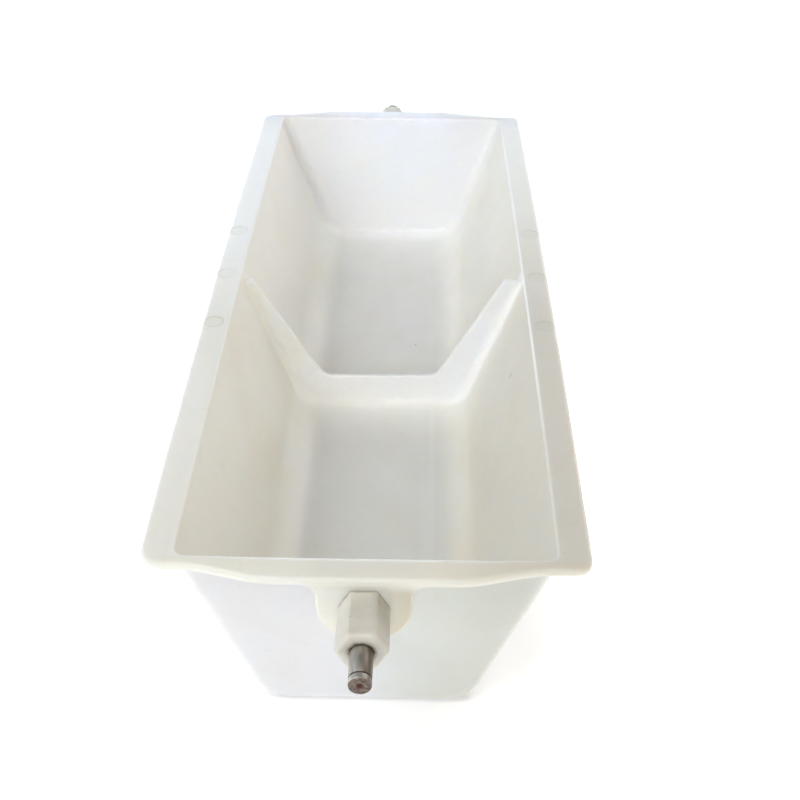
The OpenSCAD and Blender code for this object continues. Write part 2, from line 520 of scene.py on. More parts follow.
def leaned(p):
    """Slides the wall inside along itself near the divider, so that the divider's ends lean with it."""
    near = 1 - smooth((abs(p.y) - LEAN_START) / (LEAN_REACH - LEAN_START))
    below_rim = min(1, (RIM_TOP - ARRIS_RADIUS - p.z) / (RIM_TOP - ARRIS_RADIUS - SHOULDER_Z))
    above_floor = smooth((p.z - WALL) / SIDE_FLOOR_RADIUS)
    outside = abs(p.x) >= inside_x(p.z) + 0.5 * MM
    if outside or near <= 0 or below_rim <= 0:
        return p
    side = 1 if p.x > 0 else -1
    on_wall = smooth((abs(p.x) - inside_x(p.z) + 2 * MM) / (2 * MM))
    rise = near * below_rim * above_floor * on_wall * DIVIDER_LEAN * p.x
    return p + Vector((side * rise * SIDE_SLOPE, 0, rise))


def squared_up(p):
    """Draws the rim's outer corners out from round towards square, by a different amount for each."""
    u = (abs(p.x) - HALF_WIDTH) / RIM_CORNER_RADIUS + 1
    v = (abs(p.y) - RIM_CORNER_Y) / RIM_CORNER_RADIUS + 1
    if u <= 0 or v <= 0 or p.z < RIM_TOP - RIM_THICKNESS - MM:
        return p
    power = CORNER_POWERS[(p.x > 0, p.y > 0)]
    grown = math.hypot(u, v) / (u ** power + v ** power) ** (1 / power) - 1
    reach = RIM_CORNER_RADIUS * grown
    return p + Vector((math.copysign(u * reach, p.x), math.copysign(v * reach, p.y), 0))


def bowed(p):
    """Bows the long sides out, with their widest place at mid-length."""
    sag = SIDE_BOW_LEFT if p.x < 0 else SIDE_BOW_RIGHT
    drawn_in = sag * min(1, (p.y / RIM_CORNER_Y) ** 2)
    return Vector((p.x * (1 - drawn_in / HALF_WIDTH), p.y, p.z))


def make_tub_shell():
    mesh = TubMesh()
    loops = [mesh.add(tub_loop(i)) for i in range(len(SIDE))]
    for ring, following in zip(loops, loops[1:]):
        mesh.quads(ring + ring[:1], following + following[:1])
    mesh.floor(loops[0], 0, None)
    mesh.floor(loops[-1], WALL, CREST[-1])
    points = [bowed(uneven(squared_up(leaned(p)))) for p in mesh.points]
    return mesh_object("tub_shell", points, mesh.faces)


def circle_point(across, up, radius, angle):
    return Vector((across + radius * math.cos(angle), up + radius * math.sin(angle)))


def pad_outline(grown):
    """Outline of an end pad in (x, z), grown by an amount: round below the pivot and filleted above."""
    half = PAD_HALF + grown
    fillet = max(PAD_FILLET - grown, 0.5 * MM)
    reach = half + fillet
    ceiling = RIM_TOP - RIM_THICKNESS
    right = [Vector((reach - 0.3 * MM, PAD_CEILING)), Vector((reach, ceiling))]
    for k in range(1, PAD_ARC_STEPS + 1):
        right.append(circle_point(reach, ceiling - fillet, fillet, math.pi / 2 * (1 + k / PAD_ARC_STEPS)))
    below = [circle_point(0, AXIS_Z, half, -math.pi * k / PAD_ROUND_STEPS)
             for k in range(PAD_ROUND_STEPS + 1)]
    left = [Vector((-p.x, p.y)) for p in right]
    return right + below + left[::-1]


def pad_flank():
    """(Growth of the outline, share of the way from the wall to the face) down a pad's flank."""
    depth = PAD_FACE - inside_y(AXIS_Z) - END_SKIN
    steps = []
    for k in range(5):
        angle = math.pi / 2 * k / 4
        steps.append((PAD_EDGE * (math.sin(angle) - 1), 1 - PAD_EDGE * (1 - math.cos(angle)) / depth))
    flare_share = PAD_FLARE / depth
    steps.append((PAD_DRAFT, mix(flare_share, 1, 0.4)))
    for k in range(PAD_ARC_STEPS):
        angle = math.pi / 2 * k / (PAD_ARC_STEPS - 1)
        steps.append((2 * PAD_DRAFT + PAD_FLARE * (1 - math.cos(angle)),
                      flare_share * (1 - math.sin(angle)) - 0.01))
    steps.append((2 * PAD_DRAFT + PAD_FLARE, -0.12))
    return steps


def make_pads():
    """Both end pads, each a flared block that grows out of the end wall."""
    points = []
    faces = []
    for end in (-1, 1):
        rings = []
        for grown, share in pad_flank():
            ring = [Vector((p.x, end * mix(inside_y(p.y) + END_SKIN, PAD_FACE, share), p.y))
                    for p in pad_outline(grown)]
            rings.append(list(range(len(points), len(points) + len(ring))))
            points += ring
        for ring, following in zip(rings, rings[1:]):
            for a, b, c, d in zip(ring, ring[1:] + ring[:1], following[1:] + following[:1], following):
                faces.append((a, b, c, d) if end < 0 else (d, c, b, a))
        faces.append(tuple(rings[0][::end]))
        faces.append(tuple(rings[-1][::-end]))
    return mesh_object("pads", points, faces)


def make_marks():
    """Shallow discs at the places where the mould's ejector pins have pressed on the rim."""
    places = [(side * MARK_ACROSS, y * MARK_SPACING) for side in (-1, 1) for y in (-1, 0, 1)]
    places += [(x, end * (MOUTH_Y + END_MARK_SETBACK)) for x, end in END_MARKS]
    points = []
    faces = []
    for x, y in places:
        below = list(range(len(points), len(points) + MARK_STEPS))
        above = [i + MARK_STEPS for i in below]
        for z in (RIM_TOP - MARK_DEPTH, RIM_TOP + MM):
            for k in range(MARK_STEPS):
                p = circle_point(x, y, MARK_RADIUS, 2 * math.pi * k / MARK_STEPS)
                points.append(Vector((p.x, p.y, z)))
        faces.append(tuple(below[::-1]))
        faces.append(tuple(above))
        for k in range(MARK_STEPS):
            m = (k + 1) % MARK_STEPS
            faces.append((below[k], below[m], above[m], above[k]))
    return mesh_object("marks", points, faces)


def make_tub():
    tub = make_tub_shell()
    combine(tub, make_pads(), "UNION")
    combine(tub, make_marks(), "DIFFERENCE")
    tub.data.set_sharp_from_angle(angle=SHARP_ANGLE)
    tub.name = "tub_body"
    return tub


def axial_point(radius, angle, y):
    """A point round the pivot axis."""
    return Vector((radius * math.cos(angle), y, AXIS_Z + radius * math.sin(angle)))


def revolve(name, profile, steps, end):
    """A closed lathe shape about the pivot axis at one end. The profile is (radius, y)."""
    points = []
    faces = []
    rings = []
    for radius, y in profile:
        count = steps if radius else 1
        rings.append(list(range(len(points), len(points) + count)))
        points += [axial_point(radius, 2 * math.pi * k / steps, end * y) for k in range(count)]
    for ring, following in zip(rings, rings[1:]):
        for k in range(steps):
            m = (k + 1) % steps
            if len(ring) == 1:
                face = (ring[0], following[m], following[k])
            elif len(following) == 1:
                face = (ring[k], ring[m], following[0])
            else:
                face = (ring[k], ring[m], following[m], following[k])
            faces.append(face[::end])
    return mesh_object(name, points, faces)


def make_pin(name, end):
    """Turned pin with a retaining-ring groove, a chamfered tip and a turning centre."""
    tip = PIN_END
    groove = tip - GROOVE_INSET
    groove_root = groove - GROOVE_WIDTH
    shaft = PIN_RADIUS
    turned = PIN_RADIUS - PIN_TAPER
    held = [(0, PIN_START), (HELD_RADIUS, PIN_START), (HELD_RADIUS, SLEEVE_END - 4 * MM)]
    free = [(shaft, SLEEVE_END - 3 * MM), (shaft, SLEEVE_END), (shaft, mix(SLEEVE_END, groove, 0.4)),
            (turned, groove_root - 0.2 * MM)]
    ring_groove = [(turned - 0.12 * MM, groove_root - 0.05 * MM), (turned - GROOVE_DEPTH, groove_root),
                   (turned - GROOVE_DEPTH, groove - 0.1 * MM), (turned - 0.1 * MM, groove)]
    chamfer = [(turned, groove + 0.15 * MM), (turned, tip - 1.0 * MM), (turned - 0.12 * MM, tip - 0.6 * MM),
               (turned - 0.4 * MM, tip - 0.22 * MM), (turned - 0.9 * MM, tip)]
    centre = [(4 * MM, tip - 0.12 * MM), (2.5 * MM, tip - 0.2 * MM), (2.1 * MM, tip - 0.5 * MM),
              (0.8 * MM, tip - 1.7 * MM), (0, tip - 1.9 * MM)]
    return revolve(name, held + free + ring_groove + chamfer + centre, PIN_STEPS, end)


def hex_radii(flat, edge):
    """(Angle, radius) of the points round a hexagon with rounded corners and flats above and below."""
    half_sector = math.pi / 6
    to_centre = (flat - edge) / math.cos(half_sector)
    reach = math.atan2(edge * math.sin(half_sector), to_centre + edge * math.cos(half_sector))
    around = []
    for corner in range(6):
        middle = corner * math.pi / 3
        for k in range(-3, 4):
            t = reach * k / 3
            over_edge = math.sqrt(max(0, edge ** 2 - (to_centre * math.sin(t)) ** 2))
            around.append((middle + t, to_centre * math.cos(t) + over_edge))
        for k in range(1, 6):
            t = mix(reach, 2 * half_sector - reach, k / 6)
            around.append((middle + t, flat / math.cos(t - half_sector)))
    return around


def make_sleeve(name, end):
    """Hexagonal sleeve with soft edges. Its bore is close to the pin's shaft at the free end and widens
    for the part of the pin that is held."""
    flat = (hex_high.z - hex_low.z) / 2
    root = PAD_FACE - 0.5 * MM
    stations = [(SLEEVE_DRAFT, root), (SLEEVE_DRAFT, root + MM),
                (SLEEVE_DRAFT / 2, mix(root, SLEEVE_END, 0.5)),
                (0, SLEEVE_END - 1.2 * SLEEVE_END_RADIUS)]
    for k in range(SLEEVE_ARC_STEPS + 1):
        angle = math.pi / 2 * k / SLEEVE_ARC_STEPS
        stations.append((SLEEVE_END_RADIUS * (1 - math.cos(angle)),
                         SLEEVE_END - SLEEVE_END_RADIUS * (1 - math.sin(angle))))
    outlines = [(hex_radii(flat - inset, SLEEVE_EDGE), y) for inset, y in stations]
    angles = [angle for angle, _ in hex_radii(flat, SLEEVE_EDGE)]
    bore = PIN_RADIUS + BORE_GAP
    held = HELD_RADIUS + HELD_GAP
    for r, y in ((bore + 0.5 * MM, SLEEVE_END), (bore + 0.1 * MM, SLEEVE_END - 0.35 * MM),
                 (bore, SLEEVE_END - 0.9 * MM), (bore, SLEEVE_END - 3.2 * MM),
                 (held, SLEEVE_END - 4.2 * MM), (held, root)):
        outlines.append(([(angle, r) for angle in angles], y))
    count = len(angles)
    points = [axial_point(r, angle, end * y) for around, y in outlines for angle, r in around]
    rings = [list(range(i * count, (i + 1) * count)) for i in range(len(outlines))]
    faces = []
    for ring, following in zip(rings, rings[1:] + rings[:1]):
        for k in range(count):
            m = (k + 1) % count
            face = (ring[k], ring[m], following[m], following[k])
            faces.append(face[::end])
    return mesh_object(name, points, faces)


# Places of the colour sockets of a Mix node, which shares their names among sockets of other kinds
MIX_A = 6
MIX_B = 7
MIX_RESULT = 2


class Nodes:
    """Short ways to add shader nodes. A method that adds nodes returns the socket of their result."""

    def __init__(self, name):
        self.material = bpy.data.materials.new(name)
        self.material.use_nodes = True
        self.tree = self.material.node_tree
        self.shader = self.tree.nodes["Principled BSDF"]
        self.place = self.tree.nodes.new("ShaderNodeTexCoord").outputs["Object"]
        split = self.tree.nodes.new("ShaderNodeSeparateXYZ")
        self.tree.links.new(self.place, split.inputs[0])
        self.x, self.y, self.z = split.outputs

    def feed(self, socket, value):
        if isinstance(value, bpy.types.NodeSocket):
            self.tree.links.new(value, socket)
        else:
            socket.default_value = value

    def surface(self, **values):
        """Sets or links sockets of the shader, each named with _ for a space."""
        for name, value in values.items():
            self.feed(self.shader.inputs[name.replace("_", " ")], value)

    def math(self, operation, a, b=0.0):
        node = self.tree.nodes.new("ShaderNodeMath")
        node.operation = operation
        self.feed(node.inputs[0], a)
        self.feed(node.inputs[1], b)
        return node.outputs[0]

    def times(self, a, b):
        return self.math("MULTIPLY", a, b)

    def plus(self, a, b):
        return self.math("ADD", a, b)

    def minus(self, a, b):
        return self.math("SUBTRACT", a, b)

    def size(self, a):
        return self.math("ABSOLUTE", a)

    def larger(self, a, b):
        return self.math("MAXIMUM", a, b)

    def distance(self, a, b):
        """Length of the line that goes a one way and b at right angles to it."""
        return self.math("SQRT", self.plus(self.times(a, a), self.times(b, b)))

    def ramp(self, value, low, high, to_low=0.0, to_high=1.0):
        """A smooth change from one level to another as the value goes from low to high."""
        node = self.tree.nodes.new("ShaderNodeMapRange")
        node.interpolation_type = "SMOOTHSTEP"
        self.feed(node.inputs["Value"], value)
        node.inputs["From Min"].default_value = low
        node.inputs["From Max"].default_value = high
        node.inputs["To Min"].default_value = to_low
        node.inputs["To Max"].default_value = to_high
        return node.outputs["Result"]

    def fall(self, value, low, high):
        """1 up to low and 0 beyond high."""
        return self.ramp(value, low, high, 1, 0)

    def stretched(self, sx, sy, sz):
        node = self.tree.nodes.new("ShaderNodeMapping")
        self.tree.links.new(self.place, node.inputs["Vector"])
        node.inputs["Scale"].default_value = (sx, sy, sz)
        return node.outputs["Vector"]

    def near(self, point, reach):
        """1 within the reach of a point, and 0 outside it."""
        node = self.tree.nodes.new("ShaderNodeVectorMath")
        node.operation = "DISTANCE"
        self.tree.links.new(self.place, node.inputs[0])
        node.inputs[1].default_value = point
        return self.fall(node.outputs["Value"], 0.7 * reach, reach)

    def noise(self, scale, detail=2.0, roughness=0.5, vector=None):
        node = self.tree.nodes.new("ShaderNodeTexNoise")
        self.tree.links.new(vector or self.place, node.inputs["Vector"])
        node.inputs["Scale"].default_value = scale
        node.inputs["Detail"].default_value = detail
        node.inputs["Roughness"].default_value = roughness
        return node.outputs["Fac"]

    def blend(self, factor, a, b, kind="MIX"):
        """Mixes two colours, each a socket or (red, green, blue)."""
        node = self.tree.nodes.new("ShaderNodeMix")
        node.data_type = "RGBA"
        node.blend_type = kind
        self.feed(node.inputs["Factor"], factor)
        for place, colour in ((MIX_A, a), (MIX_B, b)):
            self.feed(node.inputs[place], (*colour, 1) if isinstance(colour, tuple) else colour)
        return node.outputs[MIX_RESULT]

    def tint(self, mask, colour, tone):
        """Multiplies a colour by a tone where the mask is."""
        return self.blend(mask, colour, tone, "MULTIPLY")

    def bump(self, height, distance, strength, under=None):
        node = self.tree.nodes.new("ShaderNodeBump")
        node.inputs["Strength"].default_value = strength
        node.inputs["Distance"].default_value = distance
        self.feed(node.inputs["Height"], height)
        if under is not None:
            self.tree.links.new(under, node.inputs["Normal"])
        return node.outputs["Normal"]


class TubPlaces:
    """Distances and masks of the tub's regions, which the layers of its material share."""

    def __init__(self, n):
        self.across = n.size(n.x)
        self.along = n.size(n.y)
        inner_x = n.plus(n.times(n.z, SIDE_SLOPE), FLOOR_HALF_WIDTH - WALL * SIDE_SLOPE)
        inner_y = n.plus(n.times(n.z, END_SLOPE), MOUTH_Y - END_DRAFT - WALL * END_SLOPE)
        self.beyond_side = n.minus(self.across, inner_x)
        self.beyond_rear = n.minus(n.y, inner_y)
        self.beyond_front = n.minus(n.times(n.y, -1.0), inner_y)
        self.front = n.ramp(n.y, -0.5 * MOUTH_Y, 0.7 * MOUTH_Y, 1, 0.15)
        self.rear_wall = n.ramp(n.y, MOUTH_Y - 40 * MM, MOUTH_Y - 16 * MM)
        self.rim = n.ramp(n.z, RIM_TOP - RIM_THICKNESS - MM, RIM_TOP - RIM_THICKNESS + MM)
        self.pad = n.fall(n.y, -MOUTH_Y - 16 * MM, -MOUTH_Y - 6 * MM)
        front_lip = n.times(n.fall(n.y, -MOUTH_Y - 4 * MM, -MOUTH_Y + MM), self.rim)
        self.thick = n.larger(front_lip, self.pad)


def walls_and_divider(n, places, colour):
    """Walls greyed by painted shade, most at the front and on the right, a divider painted lighter than they
    are and whitest on its right arm, and a rear wall painted lighter and cooler."""
    divider = n.times(n.fall(places.along, 5 * MM, 18 * MM), n.fall(places.beyond_side, -MM, 2 * MM))
    divider = n.times(divider, n.ramp(n.z, WALL + MM, WALL + 12 * MM))
    # Painted light: the divider lighter than the walls, whitest on its right arm.
    divider_light = n.blend(n.ramp(n.x, -60 * MM, 70 * MM), (0.925, 0.91, 0.87), (0.99, 0.995, 0.998))
    colour = n.blend(divider, colour, divider_light)
    # Painted shade: the walls greyed towards the front and the right; the divider is spared.
    front_right_shade = n.blend(n.ramp(n.x, 0, 0.8 * HALF_WIDTH), (0.93, 0.92, 0.90), (0.78, 0.762, 0.73))
    colour = n.tint(n.times(places.front, n.ramp(divider, 0, 1, 1, 0.05)), colour, front_right_shade)
    # Painted light: the rear wall lighter and cooler.
    return n.blend(places.rear_wall, colour, (0.985, 0.988, 0.99))


def lips(n, places, colour):
    """Thick plastic of the front lip and pad, more cream, with painted light that cools its left, and the
    left lip painted lighter and cooler towards the rear.
    """
    # Partly painted light: the cream is cooler on the left.
    cream = n.blend(n.ramp(n.x, -80 * MM, 90 * MM), (0.99, 0.985, 0.965), (1.01, 0.99, 0.95))
    colour = n.tint(places.thick, colour, cream)
    # Painted light on the left lip: lighter and cooler towards the rear, a little darker and cooler at the
    # front.
    left_lip = n.times(n.fall(n.x, -MOUTH_X - 2 * MM, -MOUTH_X + MM), places.rim)
    colour = n.blend(n.times(left_lip, n.ramp(places.front, 0, 1, 0.8, 0)), colour, (0.97, 0.98, 0.99))
    return n.tint(n.times(left_lip, places.front), colour, (0.97, 0.975, 0.99))


def outside_walls(n, places, colour):
    """Front wall's outside, blue on the left for the cool light that passes through it and grey on the right
    by painted shade, and the outside of the other walls greyed below the lip by painted shade, the rear one
    most."""
    front_face = n.times(n.ramp(places.beyond_front, MM, 3 * MM), n.ramp(places.thick, 0, 1, 1, 0))
    # Painted cool light through the front wall on the left, and painted shade, grey, on the right.
    front_light_and_shade = n.blend(n.ramp(n.x, -30 * MM, 60 * MM), (0.965, 0.965, 1.04), (0.92, 0.945, 0.94))
    colour = n.tint(front_face, colour, front_light_and_shade)
    side_face = n.ramp(places.beyond_side, 2.2 * MM, 3.4 * MM)
    rear_face = n.ramp(places.beyond_rear, 2 * MM, 3.2 * MM)
    below_lip = n.fall(n.z, RIM_TOP - RIM_THICKNESS - 3 * MM, RIM_TOP - RIM_THICKNESS)
    # Painted shade: the outside of the side and rear walls greyed below the lip, with a little random
    # variation, the rear one most.
    under_lip_shade = n.times(n.larger(side_face, rear_face), below_lip)
    under_lip_shade = n.times(under_lip_shade, n.ramp(n.y, -MOUTH_Y, -0.85 * MOUTH_Y))
    grey = n.blend(n.ramp(n.noise(24, 4, 0.6), 0.3, 0.7), (0.80, 0.80, 0.785), (0.86, 0.86, 0.85))
    colour = n.tint(under_lip_shade, colour, grey)
    return n.tint(n.times(under_lip_shade, rear_face), colour, (0.86, 0.85, 0.83))


def pad_right_shade(n, places, colour):
    """Painted shade on the right of the pad, beside the sleeve, darker towards the pad's right edge."""
    beside = n.times(places.pad, n.ramp(n.x, 2 * MM, PAD_HALF))
    beside = n.times(beside, n.fall(n.z, RIM_TOP - 12 * MM, RIM_TOP - 6 * MM))
    return n.tint(n.times(beside, 0.9), colour, (0.80, 0.76, 0.66))


def mouth_highlight(n, places, colour):
    """Painted highlight along the right of the mouth, where its rounded edge catches the light, faint at the
    front.
    """
    drawn_in = n.times(n.times(n.y, n.y), SIDE_BOW_RIGHT / RIM_CORNER_Y ** 2)
    from_edge = n.minus(n.plus(n.x, drawn_in), MOUTH_X)
    edge = n.times(n.ramp(from_edge, -0.8 * MM, -0.3 * MM), n.fall(from_edge, 0.9 * MM, 1.6 * MM))
    edge = n.times(edge, n.ramp(n.z, RIM_TOP - 3 * MM, RIM_TOP - 1.5 * MM))
    edge = n.times(edge, n.ramp(n.y, -0.8 * MOUTH_Y, -0.1 * MOUTH_Y, 0.1, 1))
    edge = n.times(edge, n.fall(places.along, MOUTH_Y - 12 * MM, MOUTH_Y - 2 * MM))
    return n.blend(edge, colour, (0.995, 0.995, 0.99))


def ejector_marks(n, places, colour):
    """Faint rings round the ejector marks on the long lips, and a slight shade inside them."""
    row = n.math("ROUND", n.math("DIVIDE", n.y, MARK_SPACING))
    radius = n.distance(n.minus(places.across, MARK_ACROSS), n.minus(n.y, n.times(row, MARK_SPACING)))
    on_row = n.fall(places.along, 1.3 * MARK_SPACING, 1.35 * MARK_SPACING)
    mark = n.times(on_row, n.ramp(n.z, RIM_TOP - 1.5 * MM, RIM_TOP - MM))
    ring = n.times(n.ramp(radius, MARK_RADIUS - 1.1 * MM, MARK_RADIUS - 0.5 * MM),
                   n.fall(radius, MARK_RADIUS + 0.3 * MM, MARK_RADIUS + 0.9 * MM))
    patchy = n.ramp(n.noise(45, 2, 0.5), 0.35, 0.6, 0.35, 1)
    ring = n.times(n.times(ring, mark), n.times(patchy, n.ramp(n.x, -MM, MM, 1, 0.5)))
    colour = n.tint(ring, colour, (0.84, 0.83, 0.80))
    disc = n.times(n.fall(radius, MARK_RADIUS - 1.2 * MM, MARK_RADIUS - 0.6 * MM), mark)
    return n.tint(n.times(disc, 0.7), colour, (0.955, 0.965, 0.94))


def stains(n, places, colour):
    """Warm patches and fine grey stains, and painted reflections: light streaks along the right of the floor.
    """
    patches = n.ramp(n.noise(14, 3, 0.55, n.stretched(1, 0.8, 1.4)), 0.45, 0.72)
    on_lip = n.ramp(places.across, MOUTH_X - MM, MOUTH_X + 2 * MM)
    warm = n.times(patches, n.ramp(on_lip, 0, 1, 0.6, 0.15))
    colour = n.tint(warm, colour, (0.975, 0.95, 0.91))
    stain = n.ramp(n.noise(110, 4, 0.7), 0.56, 0.76)
    colour = n.tint(n.times(stain, 0.6), colour, (0.93, 0.915, 0.88))
    # Painted reflection: soft light streaks along the right of the floor.
    lines = n.ramp(n.noise(1.0, 1, 0.5, n.stretched(75, 1.6, 3.0)), 0.48, 0.66)
    on_floor = n.fall(n.z, WALL + 1.0 * MM, WALL + 4 * MM)
    on_floor = n.times(on_floor, n.ramp(n.z, 0.5 * WALL, 0.8 * WALL))
    on_floor = n.times(on_floor, n.ramp(n.x, 30 * MM, 45 * MM))
    return n.blend(n.times(n.times(lines, on_floor), 0.22), colour, (0.96, 0.97, 0.97))


def speck_and_scratch(n, places, colour):
    """A dark speck on the rear floor and a short scratch on the right wall."""
    speck = n.near((32 * MM, 108 * MM, WALL), 0.9 * MM)
    from_line = n.size(n.plus(n.times(n.z, 0.25), n.plus(n.y, 75 * MM)))
    scratch = n.times(n.near((113 * MM, -102 * MM, 107 * MM), 4 * MM), n.fall(from_line, 0.3 * MM, 0.7 * MM))
    return n.blend(n.times(n.larger(speck, scratch), 0.85), colour, (0.14, 0.12, 0.11))


def milky_plastic():
    """Natural polyethylene: translucent and cream where thick, painted lighter and cool white at the rear,
    and greyed at the front and on the right by painted shade.
    """
    n = Nodes("milky_plastic")
    places = TubPlaces(n)
    cloud = n.ramp(n.noise(9, 4, 0.6), 0.3, 0.7)
    colour = n.blend(cloud, (0.905, 0.905, 0.875), (0.93, 0.935, 0.915))
    for layer in (walls_and_divider, lips, outside_walls, pad_right_shade, mouth_highlight, ejector_marks, stains,
                  speck_and_scratch):
        colour = layer(n, places, colour)
    wave = n.bump(n.noise(28, 2, 0.5), 0.6 * MM, 0.35)
    grain = n.bump(n.noise(420, 2, 0.5), 0.05 * MM, 0.5, wave)
    n.surface(Base_Color=colour, Roughness=n.ramp(n.noise(60, 3, 0.6), 0.3, 0.7, 0.30, 0.42), IOR=1.5,
              Subsurface_Weight=1.0, Subsurface_Radius=(1.0, 0.93, 0.82),
              Subsurface_Scale=n.ramp(places.rear_wall, 0, 1, 0.006, 0.002), Normal=grain)
    return n.material


def from_axis(n):
    """Distance of the shaded point from the pivot axis."""
    return n.distance(n.x, n.minus(n.z, AXIS_Z))


def cream_plastic():
    """The same plastic in a thick block, so more cream, with painted shade on its right, its sides and round
    the pin, darker in patches at its root, and a few specks.
    """
    n = Nodes("cream_plastic")
    along = n.size(n.y)
    cloud = n.ramp(n.noise(60, 4, 0.6), 0.32, 0.68)
    colour = n.blend(cloud, (0.72, 0.685, 0.61), (0.785, 0.75, 0.68))
    shaded = n.times(n.ramp(n.x, 3 * MM, 11 * MM), n.ramp(along, PAD_FACE + 8 * MM, SLEEVE_END, 1, 0.1))
    colour = n.tint(shaded, colour, (0.78, 0.76, 0.72))
    # Painted shade: the side facets darker than the top ones.
    flank = n.ramp(n.size(n.x), 7 * MM, 10 * MM)
    colour = n.tint(flank, colour, (0.93, 0.94, 0.95))
    patchy = n.ramp(n.noise(260, 4, 0.7), 0.38, 0.62)
    # Painted shade, in patches, round the bore's mouth where the pin enters.
    ring = n.times(n.fall(from_axis(n), PIN_RADIUS + 0.8 * MM, PIN_RADIUS + 3 * MM),
                   n.ramp(along, SLEEVE_END - 3 * MM, SLEEVE_END - MM))
    bore_shade = n.times(ring, n.plus(n.times(patchy, 0.6), 0.3))
    colour = n.tint(bore_shade, colour, (0.42, 0.37, 0.29))
    root = n.fall(along, PAD_FACE + 0.4 * MM, PAD_FACE + 2.2 * MM)
    colour = n.tint(n.times(root, patchy), colour, (0.74, 0.69, 0.60))
    speck = n.ramp(n.noise(420, 2, 0.5), 0.70, 0.76)
    colour = n.tint(n.times(speck, 0.7), colour, (0.45, 0.38, 0.30))
    n.surface(Base_Color=colour, Roughness=n.ramp(n.noise(160, 3), 0.3, 0.7, 0.38, 0.55),
              Subsurface_Weight=1.0, Subsurface_Radius=(1.0, 0.85, 0.6), Subsurface_Scale=0.003,
              Normal=n.bump(n.noise(200, 3, 0.6), 0.15 * MM, 0.6))
    return n.material


def pin_steel():
    """Turned steel with a light brown tarnish, dark in its groove, painted shade on its right side and where
    it leaves the sleeve, painted light beyond the groove, and rust on its tip.
    """
    n = Nodes("pin_steel")
    along = n.size(n.y)
    groove_y = PIN_END - GROOVE_INSET
    lines = n.noise(1.0, 3, 0.55, n.stretched(420, 50, 420))
    colour = n.blend(n.ramp(lines, 0.3, 0.7), (0.36, 0.335, 0.30), (0.52, 0.495, 0.455))
    # Painted shade: the right side of the pin darker.
    right_side_shade = n.ramp(n.x, 1.5 * MM, 5.5 * MM)
    colour = n.tint(right_side_shade, colour, (0.40, 0.36, 0.32))
    # Painted light: beyond the groove the steel is lighter, most on the left.
    beyond = n.ramp(along, groove_y - 0.1 * MM, groove_y + 0.3 * MM)
    colour = n.blend(n.times(beyond, n.ramp(right_side_shade, 0, 1, 0.6, 0.1)), colour, (0.66, 0.64, 0.60))
    groove = n.times(n.ramp(along, groove_y - 1.3 * MM, groove_y - 1.1 * MM),
                     n.fall(along, groove_y - 0.1 * MM, groove_y + 0.1 * MM))
    colour = n.blend(groove, colour, (0.10, 0.085, 0.07))
    # Painted shade where the pin leaves the sleeve.
    root = n.fall(along, SLEEVE_END + 0.4 * MM, SLEEVE_END + 2 * MM)
    colour = n.blend(n.times(root, 0.7), colour, (0.16, 0.13, 0.10))
    blotch = n.ramp(n.noise(420, 4, 0.65), 0.35, 0.65)
    rust = n.blend(blotch, (0.115, 0.085, 0.065), (0.27, 0.215, 0.18))
    middle = n.fall(from_axis(n), 1.8 * MM, 3.2 * MM)
    rust = n.blend(middle, rust, (0.12, 0.045, 0.035))
    in_centre = n.times(middle, n.ramp(along, PIN_END - 3 * MM, PIN_END - 2.5 * MM))
    tip = n.larger(n.ramp(along, PIN_END - 0.75 * MM, PIN_END - 0.35 * MM), in_centre)
    colour = n.blend(tip, colour, rust)
    rough = n.ramp(lines, 0.3, 0.7, 0.55, 0.42)
    n.surface(Base_Color=colour, Metallic=n.ramp(tip, 0, 1, 0.85, 0.25),
              Roughness=n.plus(rough, n.times(tip, 0.2)), Normal=n.bump(lines, 0.05 * MM, 0.5))
    return n.material


def dress(obj, material, node):
    obj.data.materials.clear()
    obj.data.materials.append(material)
    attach(obj, "root")
    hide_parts(node)


# The camera, fitted to the photo's edges and rounded: its turns in degrees, its lens in millimetres, and
# its place in widths of the rim, across from the middle, in front of the tub and above the rim
CAMERA_PITCH = 34.85
CAMERA_YAW = -0.67
CAMERA_ROLL = 0.49
CAMERA_LENS = 54
CAMERA_ACROSS = 0.095
CAMERA_BEFORE = 1.86
CAMERA_ABOVE = 1.76

# The floor's glow near the tub, far from it, and added on the right, which the tub shades, and the
# floor's half size in metres
FLOOR_GLOW = 0.28
FAR_GLOW = 0.72
SHADE_GLOW = 0.14
FLOOR_HALF_SIZE = 20

# The sky: its strength near the horizon and overhead, and the angles between which it fades
SKY_GLOW = 0.85
SKY_TOP_GLOW = 0.02
SKY_LOW_EDGE = math.radians(10)
SKY_HIGH_EDGE = math.radians(26)


def make_camera():
    """Camera above and in front of the tub's front end, placed by the width of the rim."""
    width = 2 * HALF_WIDTH
    camera = bpy.data.objects.new("camera", bpy.data.cameras.new("camera"))
    bpy.context.scene.collection.objects.link(camera)
    camera.data.sensor_width = 36
    camera.data.lens = CAMERA_LENS
    camera.data.clip_start = 0.01
    camera.data.clip_end = 100
    place = Vector((CAMERA_ACROSS * width, tub_low.y - CAMERA_BEFORE * width, RIM_TOP + CAMERA_ABOVE * width))
    turn = Matrix.Rotation(-math.radians(CAMERA_YAW), 4, "Z")
    tilt = Matrix.Rotation(math.pi / 2 - math.radians(CAMERA_PITCH), 4, "X")
    roll = Matrix.Rotation(math.radians(CAMERA_ROLL), 4, "Z")
    camera.matrix_world = Matrix.Translation(place) @ turn @ tilt @ roll
    bpy.context.scene.camera = camera


